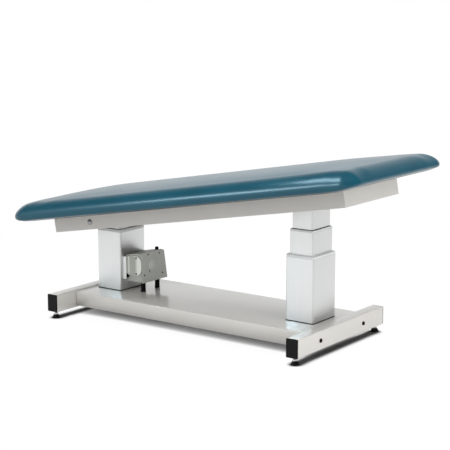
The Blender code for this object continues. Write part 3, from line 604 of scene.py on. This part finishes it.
def pad_shell():
    """Closed cover of the pad, and the count of its free vertices, which come before those on the board."""
    bm = bmesh.new()
    bmesh.ops.create_grid(bm, x_segments=PAD_COLUMNS, y_segments=PAD_ROWS, size=1.0)
    spots = {}
    for vert in bm.verts:
        x = spread(vert.co.x, PAD_HALF_LENGTH, 2 * PAD_ROLL_STEPS / PAD_COLUMNS)
        y = spread(vert.co.y, PAD_HALF_WIDTH, 2 * PAD_ROLL_STEPS / PAD_ROWS)
        x, y = round_corner(x, y)
        spots[vert] = (x, y)
        vert.co = pad_place(x, y, top_height(x, y))
    turns = [step / PAD_TUCK_STEPS * math.pi / 2 for step in range(1, PAD_TUCK_STEPS + 1)]
    under = [(PAD_TUCK * (1 - math.cos(turn)), PAD_LIP * (1 - math.sin(turn))) for turn in turns]
    pocket = BOARD_INSET - BOARD_FIT
    held = [(FLAP_WIDTH / 2, -FLAP_THICKNESS / 2), (FLAP_WIDTH, -FLAP_THICKNESS), (FLAP_WIDTH, -SEAT),
            (pocket, -SEAT), (pocket, BOARD_THICKNESS + BOARD_FIT)]
    rim = [edge for edge in bm.edges if edge.is_boundary]
    free = len(bm.verts) + len(under) * len(rim)
    start = {vert: (Vector(spots[vert]), outward(*spots[vert])) for edge in rim for vert in edge.verts}
    for inset, height in under + held:
        grown = bmesh.ops.extrude_edge_only(bm, edges=rim)["geom"]
        fresh = [item for item in grown if isinstance(item, bmesh.types.BMVert)]
        moved = {}
        for vert in fresh:
            source = next(edge.other_vert(vert) for edge in vert.link_edges if edge.other_vert(vert) in start)
            spot, away = start[source]
            place = spot - away * inset
            vert.co = pad_place(place.x, place.y, height)
            moved[vert] = (spot, away)
        start = moved
        rim = [item for item in grown if isinstance(item, bmesh.types.BMEdge) and item.is_boundary]
    ceiling = bmesh.ops.edgeloop_fill(bm, edges=rim)["faces"]
    bmesh.ops.triangulate(bm, faces=ceiling, ngon_method="BEAUTY")
    bmesh.ops.recalc_face_normals(bm, faces=bm.faces)
    return bm, free


def settle(pad, free):
    """Blow the cover out over its filling by cloth simulation; what lies on the board is held."""
    start = [vert.co - vert.normal * (PAD_SWELL if vert.index < free else 0.0) for vert in pad.data.vertices]
    for vert, place in zip(pad.data.vertices, start):
        vert.co = place
    held = pad.vertex_groups.new(name="on_board")
    held.add(list(range(free, len(start))), 1.0, "REPLACE")
    cloth = pad.modifiers.new("cover", "CLOTH")
    cloth.settings.vertex_group_mass = held.name
    cloth.settings.use_pressure = True
    cloth.settings.uniform_pressure_force = COVER_PRESSURE
    cloth.settings.effector_weights.gravity = 0.0
    cloth.point_cache.frame_end = COVER_FRAMES
    scene = bpy.context.scene
    for step in range(1, COVER_FRAMES + 1):
        scene.frame_set(step)
    blown = pad.evaluated_get(bpy.context.evaluated_depsgraph_get()).data
    moves = [after.co - before for after, before in zip(blown.vertices, start)]
    pad.modifiers.remove(cloth)
    scene.frame_set(1)
    for vert, place, move in zip(pad.data.vertices, start, moves):
        vert.co = place + move * min(1.0, PAD_MOST_MOVE / max(move.length, MERGE))


def fill_out(pad, free):
    """Stretch the settled cover along the top until it fills its outline."""
    spots = [TOP.inverted() @ vert.co for vert in pad.data.vertices]
    left = PAD_MIDDLE - min(spot.x for spot in spots)
    right = max(spot.x for spot in spots) - PAD_MIDDLE
    half = max(spot.y for spot in spots)
    for vert, spot in zip(pad.data.vertices[:free], spots):
        run = spot.x - PAD_MIDDLE
        if run < 0:
            run *= (PAD_HALF_LENGTH + PAD_REACH_LEFT) / left
        else:
            run *= (PAD_HALF_LENGTH + PAD_REACH_RIGHT) / right
        vert.co = TOP @ Vector((PAD_MIDDLE + run, spot.y * PAD_HALF_WIDTH / half, spot.z))


def build_pad():
    """Foam pad under teal vinyl, wrapped round the deck board."""
    bm, free = pad_shell()
    pad = piece("padded_top", bm, "tabletop", "vinyl", ("cushion",))
    settle(pad, free)
    fill_out(pad, free)
    pad.data.shade_smooth()
    finer = pad.modifiers.new("finer", "SUBSURF")
    finer.levels = 1
    finer.render_levels = 1


SLOT_NODES = {
    "paint": ["foot_tube", "frame_rail"],
    "aluminium": ["column_outer", "column_middle", "column_inner", "control_bracket"],
    "collar": ["outer_collar", "middle_collar"],
    "chrome": ["lift_spindle_lower", "lift_spindle_middle"],
    "steel": ["pivot_shaft", "lift_spindle_upper", "head_bracket", "roller_pin", "slot_plate"],
    "black": ["foot_cap", "column_gasket", "lift_motor"],
    "nylon": ["roller_front", "roller_rear"],
    "board": ["deck_board"],
    "control": ["control_housing", "control_side_cover"],
}
EDGES = {"paint": 0.0008, "aluminium": 0.0005, "collar": 0.0006, "chrome": 0.0004, "steel": 0.0004,
         "black": 0.0006, "nylon": 0.0005, "board": 0.0008, "control": 0.0008}


def build_dressed_nodes():
    """Every CAD node that keeps its shape, with eased edges and its finish."""
    for slot, starts in SLOT_NODES.items():
        for node in sorted(frame["nodes"]):
            if node.startswith(tuple(starts)):
                dressed(node, slot, EDGES[slot])


def block(low, high):
    """Box between two corners."""
    low, high = Vector(low), Vector(high)
    bm = bmesh.new()
    bmesh.ops.create_cube(bm, size=1.0, matrix=Matrix.LocRotScale((low + high) / 2, None, high - low))
    return bm


def rounded(bm, edges, radius, steps):
    """Round some edges of a bmesh."""
    bmesh.ops.bevel(bm, geom=edges, offset=radius, offset_type="OFFSET", segments=steps, profile=0.5,
                    affect="EDGES", material=-1)
    return bm


def turned(profile):
    """Turn a profile of (radius, height) about Z."""
    bm = bmesh.new()
    verts = [bm.verts.new((radius, 0.0, height)) for radius, height in profile]
    edges = [bm.edges.new(pair) for pair in zip(verts, verts[1:])]
    bmesh.ops.spin(bm, geom=verts + edges, cent=(0, 0, 0), axis=(0, 0, 1), angle=2 * math.pi,
                   steps=TURN_STEPS, use_merge=True)
    bmesh.ops.remove_doubles(bm, verts=bm.verts, dist=MERGE)
    bmesh.ops.recalc_face_normals(bm, faces=bm.faces)
    return bm


def hexagon(radius, low, high):
    """Six-sided nut about Z."""
    bm = bmesh.new()
    bmesh.ops.create_cone(bm, cap_ends=True, segments=6, radius1=radius, radius2=radius, depth=high - low,
                          matrix=Matrix.Translation((0, 0, (low + high) / 2)))
    return rounded(bm, bm.edges[:], radius * NUT_EASE, EDGE_STEPS)


def socket_head(radius, height):
    """Round screw head with a six-sided socket, about Z."""
    bm = bmesh.new()
    bmesh.ops.create_cone(bm, cap_ends=True, segments=TURN_STEPS, radius1=radius, radius2=radius * HEAD_TOP,
                          depth=height, matrix=Matrix.Translation((0, 0, height / 2)))
    top = max(bm.faces, key=lambda face: face.calc_center_median().z)
    bmesh.ops.inset_region(bm, faces=[top], thickness=radius * HEX_RIM)
    for vert in top.verts:
        angle = math.atan2(vert.co.y, vert.co.x)
        reach = radius * HEX_SIZE / math.cos(angle % (math.pi / 3) - math.pi / 6)
        vert.co.x, vert.co.y = reach * math.cos(angle), reach * math.sin(angle)
    well = bmesh.ops.extrude_discrete_faces(bm, faces=[top])["faces"][0]
    bmesh.ops.translate(bm, vec=(0, 0, -HEX_DEPTH * height), verts=well.verts)
    return bm


def placed(bm, place, way=(0, 0, 1)):
    """Move a bmesh made about Z to a place, with Z turned along a direction."""
    turn = Vector(way).to_track_quat("Z", "Y").to_matrix().to_4x4()
    bmesh.ops.transform(bm, matrix=Matrix.Translation(place) @ turn, verts=bm.verts)
    return bm


def joined(meshes):
    """Several bmeshes as one."""
    whole = bmesh.new()
    for bm in meshes:
        mesh = bpy.data.meshes.new("joined")
        bm.to_mesh(mesh)
        bm.free()
        whole.from_mesh(mesh)
        bpy.data.meshes.remove(mesh)
    return whole


def slab(points, push):
    """Plate: a flat outline pushed out along a vector."""
    bm = bmesh.new()
    face = bm.faces.new([bm.verts.new(point) for point in points])
    grown = bmesh.ops.extrude_face_region(bm, geom=[face])["geom"]
    bmesh.ops.translate(bm, vec=push, verts=[item for item in grown if isinstance(item, bmesh.types.BMVert)])
    bmesh.ops.recalc_face_normals(bm, faces=bm.faces)
    return bm


def foot(low, high):
    """Middle of the bottom of a box."""
    return (low.x + high.x) / 2, (low.y + high.y) / 2, low.z


def hollow(obj, wall):
    """Give an open shell its wall, inwards."""
    solidify = obj.modifiers.new("wall", "SOLIDIFY")
    solidify.thickness = wall
    solidify.offset = -1.0
    solidify.use_even_offset = True


def upright(edge):
    """Tell if an edge stands upright."""
    first, second = (vert.co for vert in edge.verts)
    return abs(first.z - second.z) > (first - second).length * UPRIGHT


def build_tray():
    """Base cover: one folded steel tray, open below."""
    nodes = [f"base_cover_{side}" for side in ("top", "front", "rear", "left", "right")]
    boxes = [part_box(node) for node in nodes]
    low = [min(box[0][axis] for box in boxes) for axis in range(3)]
    high = [max(box[1][axis] for box in boxes) for axis in range(3)]
    bm = block(low, high)
    floor = min(bm.faces, key=lambda face: face.calc_center_median().z)
    bmesh.ops.delete(bm, geom=[floor], context="FACES_ONLY")
    rounded(bm, [edge for edge in bm.edges if not edge.is_boundary], TRAY_EDGE, TRAY_EDGE_STEPS)
    hollow(piece("base_tray", bm, "base", "paint", nodes), TRAY_WALL)


def build_foot_bolts():
    """Dark bolts through the feet into the base cover."""
    heads = []
    for side, way in (("left", -1), ("right", 1)):
        low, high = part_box(f"foot_tube_{side}")
        face = low.x if way < 0 else high.x
        for along in BOLT_PLACES:
            place = (face - way * SEAT, along, BOLT_LEVEL)
            heads.append(placed(socket_head(BOLT_RADIUS, BOLT_HEIGHT), place, (way, 0, 0)))
    ease_edges(piece("foot_bolts", joined(heads), "base", "black"), BOLT_EDGE)


def thread(radius, root, pitch, low, high):
    """Profile of a threaded rod, as rings."""
    profile = [(0.0, low), (root, low)]
    turns = int((high - low) / pitch)
    for turn in range(turns):
        start = low + turn * pitch
        profile += [(radius if crest else root, start + share * pitch) for crest, share in THREAD_RING]
    return profile + [(root, high), (0.0, high)]


def build_levellers():
    """Levelling feet: bell-shaped pad, washer, nut and threaded stem."""
    for end in ("front", "rear"):
        for side in ("left", "right"):
            where = f"{end}_{side}"
            low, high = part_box(f"leveller_pad_{where}")
            spot = foot(low, high)
            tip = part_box(f"leveller_stem_{where}")[1].z - low.z
            body = body_of(frame["nodes"][f"leveller_stem_{where}"])[0]
            piece(f"levelling_pad_{where}", placed(turned(PAD_BELL), spot), body, "black",
                  (f"leveller_pad_{where}",))
            seat = PAD_BELL[-1][1]
            nut = seat + WASHER_HEIGHT
            washer = [(0.0, seat), (WASHER_RADIUS, seat), (WASHER_TOP, nut), (0.0, nut)]
            stem = joined([turned(washer), hexagon(NUT_RADIUS, nut, nut + NUT_HEIGHT),
                           turned(thread(STEM_RADIUS, STEM_ROOT, STEM_PITCH, seat, tip))])
            piece(f"levelling_stem_{where}", placed(stem, spot), body, "chrome", (f"leveller_stem_{where}",))


def build_wipers():
    """Wiper ring on top of each collar, round the tube that slides in it: pale below, dark above."""
    for side in ("left", "right"):
        for collar, tube, body in (("outer_collar", "column_middle", "base"),
                                   ("middle_collar", "column_inner", f"{side}_middle")):
            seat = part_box(f"{collar}_{side}")[1].z - SEAT
            low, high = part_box(f"{tube}_{side}")
            grow = WIPER_WALL + WIPER_FIT
            bm = block((low.x - grow, low.y - grow, seat),
                       (high.x + grow, high.y + grow, seat + WIPER_HEIGHT))
            corners = [edge for edge in bm.edges if upright(edge)]
            rounded(bm, corners, TUBE_CORNER + grow, WIPER_CORNER_STEPS)
            ends = [face for face in bm.faces if abs(face.normal.z) > UPRIGHT]
            bmesh.ops.delete(bm, geom=ends, context="FACES_ONLY")
            slot = "collar" if body == "base" else "black"
            hollow(piece(f"{collar}_wiper_{side}", bm, body, slot), WIPER_WALL)


def build_conduits():
    """Ribbed cable conduits with a gland nut at each end."""
    for end in ("front", "rear"):
        node = f"control_conduit_{end}"
        low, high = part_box(node)
        radius = (high.x - low.x) / 2
        tall = high.z - low.z
        nut = GLAND_SHARE * tall
        crest = radius - CONDUIT_INSET
        ribs = thread(crest, crest - CONDUIT_RIB, CONDUIT_PITCH, nut, tall - nut)
        parts = [hexagon(radius, 0.0, nut), turned(ribs), hexagon(radius, tall - nut, tall)]
        piece(f"{node}_ribbed", placed(joined(parts), foot(low, high)), "base", "black", (node,))


def build_fuse_cap():
    """Fuse holder: collar, cap and a bar across it."""
    low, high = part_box("control_fuse_cap")
    radius = (high.x - low.x) / 2
    tall = high.z - low.z + FUSE_RISE
    cap = turned([(across * radius, up * tall) for across, up in FUSE_CAP])
    half = FUSE_BAR_SHARE * radius
    bar = block((-half, -FUSE_BAR_SIDE, tall - SEAT), (half, FUSE_BAR_SIDE, tall + FUSE_BAR_HEIGHT))
    piece("fuse_holder", placed(joined([cap, bar]), foot(low, high)), "base", "black", ("control_fuse_cap",))


def arc(centre_x, centre_z, radius, start, end):
    """Points of an arc in the plane of the panel, as (x, z)."""
    turns = [start + (end - start) * step / ARC_STEPS for step in range(ARC_STEPS + 1)]
    return [(centre_x + radius * math.cos(turn), centre_z + radius * math.sin(turn)) for turn in turns]


def build_control_front():
    """Panel on the front of the control unit, with its darker strip, screws, socket and a thin black strip as
    painted shade of the groove between its shells.
    """
    low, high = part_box("control_end_cap")
    seat, face = high.y, low.y
    bend_low = arc(PANEL_RIGHT - PANEL_CORNER, PANEL_LOW + PANEL_CORNER, PANEL_CORNER, -math.pi / 2, 0.0)
    bend_high = arc(PANEL_RIGHT - PANEL_CORNER, PANEL_HIGH - PANEL_CORNER, PANEL_CORNER, 0.0, math.pi / 2)
    outline = [(PANEL_LEFT, PANEL_LOW)] + bend_low + bend_high + [(PANEL_LEFT, PANEL_LEFT_HIGH)]
    panel = slab([(x, seat, z) for x, z in outline], (0.0, face - seat, 0.0))
    ease_edges(piece("control_panel", panel, "base", "light_control", ("control_end_cap",)), PANEL_EDGE)
    strip = block((STRIP_LEFT, face - STRIP_PROUD, STRIP_LOW), (STRIP_RIGHT, face + INLAY, STRIP_HIGH))
    ease_edges(piece("control_strip", strip, "base", "control"), STRIP_EDGE)
    # Painted shade: a thin black strip stands in for the shaded groove between the shells
    seam_shade = block((SEAM_PLACE - SEAM_WIDTH / 2, face - SEAT, SEAM_LOW),
                 (SEAM_PLACE + SEAM_WIDTH / 2, face + INLAY, SEAM_HIGH))
    screws = [placed(socket_head(SCREW_RADIUS, SCREW_HEIGHT), (SEAM_PLACE, face + SEAT, z), (0, -1, 0))
              for z in PANEL_SCREWS]
    piece("control_seam", joined([seam_shade] + screws), "base", "black")
    (left, bottom), (right, top) = SOCKET_LOW, SOCKET_HIGH
    socket = block((left, face - SOCKET_PROUD, bottom), (right, seat, top))
    mouth = min(socket.faces, key=lambda item: item.calc_center_median().y)
    bmesh.ops.inset_region(socket, faces=[mouth], thickness=SOCKET_WALL)
    well = bmesh.ops.extrude_discrete_faces(socket, faces=[mouth])["faces"][0]
    bmesh.ops.translate(socket, vec=(0, SOCKET_WELL, 0), verts=well.verts)
    ease_edges(piece("control_socket", socket, "base", "black"), SOCKET_EDGE)


def build_control_side():
    """Screws and blank badge plate on the side of the control unit, and a black block as painted shade of a
    slot.
    """
    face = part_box("control_side_cover")[1].x
    screws = [placed(socket_head(SCREW_RADIUS, SCREW_HEIGHT), (face - SEAT, y, z), (1, 0, 0))
              for y, z in PLATE_SCREWS]
    # Painted shade: a black block in the surface stands in for the shaded inside of a slot
    slit_shade = block((face - INLAY, *SLIT_LOW), (face + SLIT_PROUD, *SLIT_HIGH))
    piece("control_screws", joined(screws + [slit_shade]), "base", "black")
    rim = [(BADGE_RADIUS - inset, height) for inset, height in BADGE_RIM]
    badge = turned([(0.0, 0.0), *rim, (0.0, rim[-1][1])])
    piece("control_badge", placed(badge, (face - SEAT, *BADGE_PLACE), (1, 0, 0)), "base", "control",
          look="badge")


def build_fittings():
    """Small parts with shapes finer than the CAD's."""
    build_tray()
    build_foot_bolts()
    build_levellers()
    build_wipers()
    build_conduits()
    build_fuse_cap()
    build_control_front()
    build_control_side()


def build_camera():
    """Camera at the photograph's viewing angle."""
    data = bpy.data.cameras.new("camera")
    data.lens = CAMERA_LENS
    data.sensor_width = CAMERA_SENSOR
    camera = bpy.data.objects.new("camera", data)
    camera.location = CAMERA_PLACE
    camera.rotation_euler = (math.pi / 2 - CAMERA_PITCH, 0.0, CAMERA_YAW)
    bpy.context.collection.objects.link(camera)
    bpy.context.scene.camera = camera


def seen_directly(tree):
    """Two values: 1 for rays from the camera, and 1 for those and rays mirrored or let through."""
    path = tree.nodes.new("ShaderNodeLightPath")
    wires = [Wire(tree, path.outputs[name])
             for name in ("Is Camera Ray", "Is Glossy Ray", "Is Transmission Ray")]
    return wires[0], clamped(wires[0] + wires[1] + wires[2])


def towards(way, direction):
    """1 around a level direction and 0 well away from it."""
    facing = way.node("ShaderNodeVectorMath", {"operation": "DOT_PRODUCT"}, {0: way, 1: direction}, output=1)
    return clamped(facing * GLOW_GAIN - GLOW_START)


def build_world():
    """White surroundings for the camera, a bright backdrop and room in reflections, and even light."""
    world = bpy.data.worlds.new("studio")
    world.use_nodes = True
    tree = world.node_tree
    camera, direct = seen_directly(tree)
    way = Wire(tree, tree.nodes.new("ShaderNodeTexCoord").outputs["Generated"])
    height = way.node("ShaderNodeSeparateXYZ", {}, {"Vector": way}, output=2)
    low = clamped(GLOW_FALL * (1.0 - height / GLOW_TOP))
    glow = (BACKDROP - ROOM) * towards(way, BACKDROP_WAY) + (FRONT - ROOM) * towards(way, FRONT_WAY)
    mirrored = ROOM + low * glow
    strength = camera + (1.0 - camera) * (direct * mirrored + (1.0 - direct) * AMBIENT)
    background = tree.nodes["Background"]
    background.inputs["Color"].default_value = WHITE
    tree.links.new(strength.socket, background.inputs["Strength"])
    bpy.context.scene.world = world


def painted_occlusion_shade(place, reach, dark, light):
    """Painted shade for the floor, from ambient occlusion: 0 where the table closes the floor off from above,
    1 in the open.
    """
    opening = place.node("ShaderNodeAmbientOcclusion", {"samples": OCCLUSION_SAMPLES},
                         {"Distance": reach}, output=1)
    return clamped((opening - dark) / (light - dark))


def floor_finish():
    """White floor, plain white further away; under the table its emission is darkened by painted shade from
    ambient occlusion, beside a share of the lamps' real shadow.
    """
    material = bpy.data.materials.new("white_floor")
    material.use_nodes = True
    tree = material.node_tree
    tree.nodes.remove(tree.nodes["Principled BSDF"])
    direct = seen_directly(tree)[1]
    place = Wire(tree, tree.nodes.new("ShaderNodeTexCoord").outputs["Object"])
    away = place.node("ShaderNodeVectorMath", {"operation": "LENGTH"}, {0: place}, output=1)
    far = clamped((away - OPEN_FLOOR_NEAR) / (OPEN_FLOOR_FAR - OPEN_FLOOR_NEAR))
    # Painted shade: the floor's emission goes from white to black with the occlusion under the feet and the
    # base
    light = painted_occlusion_shade(place, *FOOT_OCCLUSION) * painted_occlusion_shade(place, *BASE_OCCLUSION)
    white = place.node("ShaderNodeEmission", {}, {"Color": between(light, BLACK, WHITE),
                                                  "Strength": 1.0 + FLOOR_LIFT * (1.0 - far)})
    lit = place.node("ShaderNodeBsdfDiffuse", {}, {"Color": (FLOOR_GREY, FLOOR_GREY, FLOOR_GREY, 1.0)})
    share = direct * (1.0 - SHADOW_SHARE + SHADOW_SHARE * far)
    mixed = place.node("ShaderNodeMixShader", {}, {0: share, 1: lit, 2: white})
    tree.links.new(mixed.socket, tree.nodes["Material Output"].inputs["Surface"])
    return material


def build_floor():
    """Wide white floor, just under the levelling feet."""
    bm = bmesh.new()
    bmesh.ops.create_grid(bm, x_segments=1, y_segments=1, size=FLOOR_SIZE / 2,
                          matrix=Matrix.Translation((0.0, 0.0, -FLOOR_DROP)))
    mesh = bpy.data.meshes.new("floor")
    bm.to_mesh(mesh)
    bm.free()
    mesh.materials.append(floor_finish())
    floor = bpy.data.objects.new("floor", mesh)
    bpy.context.collection.objects.link(floor)


def lamp(name, place, target, size, power, mirrored=False, colour=(1.0, 1.0, 1.0)):
    """Soft rectangular lamp that faces a point; it lights matt surfaces, or only shows in reflections."""
    data = bpy.data.lights.new(name, "AREA")
    data.shape = "RECTANGLE"
    data.size, data.size_y = size
    data.energy = power
    data.color = colour
    obj = bpy.data.objects.new(name, data)
    obj.location = place
    obj.rotation_euler = (Vector(target) - Vector(place)).to_track_quat("-Z", "Y").to_euler()
    obj.visible_camera = False
    obj.visible_diffuse = not mirrored
    obj.visible_glossy = mirrored
    bpy.context.collection.objects.link(obj)


def build_lamps():
    """Broad lamps overhead, in front and to the right, and the cool lamps that the pad mirrors."""
    lamp("overhead", (0.4, -0.5, 3.4), (0.1, 0.0, 0.3), (3.2, 2.6), 50.0)
    lamp("front", (-0.4, -3.7, 3.2), (0.0, 0.0, 0.3), (2.4, 1.8), 34.0)
    lamp("right", (3.0, -0.3, 0.95), (0.5, 0.0, 0.4), (1.0, 1.0), 19.0)
    lamp("strip", (-2.67, -3.18, 2.6), (0.1, -0.3, 0.6), (1.7, 0.5), 84.0, True, COOL)
    lamp("softbox", (0.26, -0.55, 1.36), (0.85, -0.37, 0.72), (0.32, 0.26), 4.0, True, COOL)


bpy.context.scene.view_settings.view_transform = "Standard"
build_camera()
build_world()
build_floor()
build_lamps()
build_dressed_nodes()
build_fittings()
build_pad()
